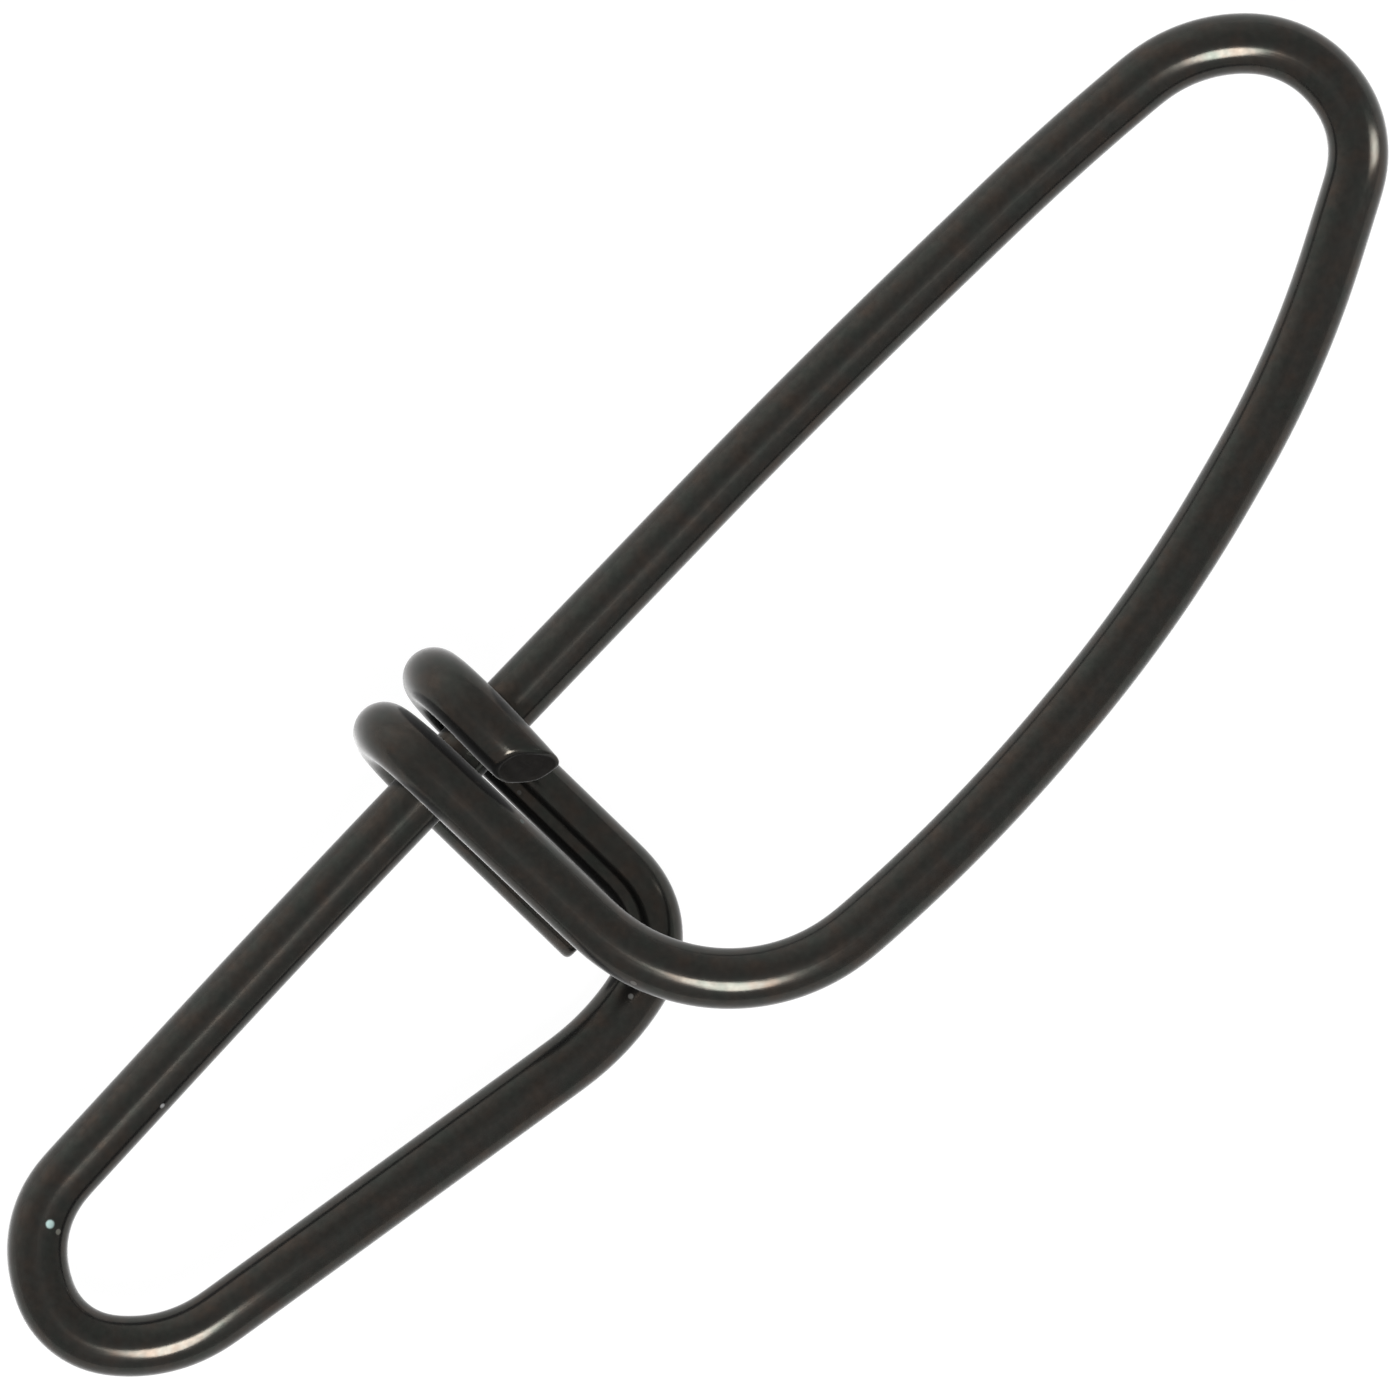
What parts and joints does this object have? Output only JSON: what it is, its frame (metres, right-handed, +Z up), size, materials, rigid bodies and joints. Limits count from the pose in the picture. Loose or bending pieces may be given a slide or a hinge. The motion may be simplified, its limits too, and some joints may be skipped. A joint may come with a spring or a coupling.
{
  "type": "fishing snap",
  "caption": "Two-ended locking snap bent from one round spring wire: a long and a short loop, each closed by a hook that wraps the straight spine.",
  "frame": {"origin": "middle of the snap's outline, on the surface that it lies on", "axes": "+X along the spine from the small loop to the large loop, +Y from the loops towards the hook tips, +Z up from the rear hook legs"},
  "size_m": [0.0302, 0.009, 0.0032],
  "materials": {
    "blackened_spring_wire": "gloss"
  },
  "bodies": {
    "root": {"snap_wire": "blackened_spring_wire"}
  },
  "joints": []
}
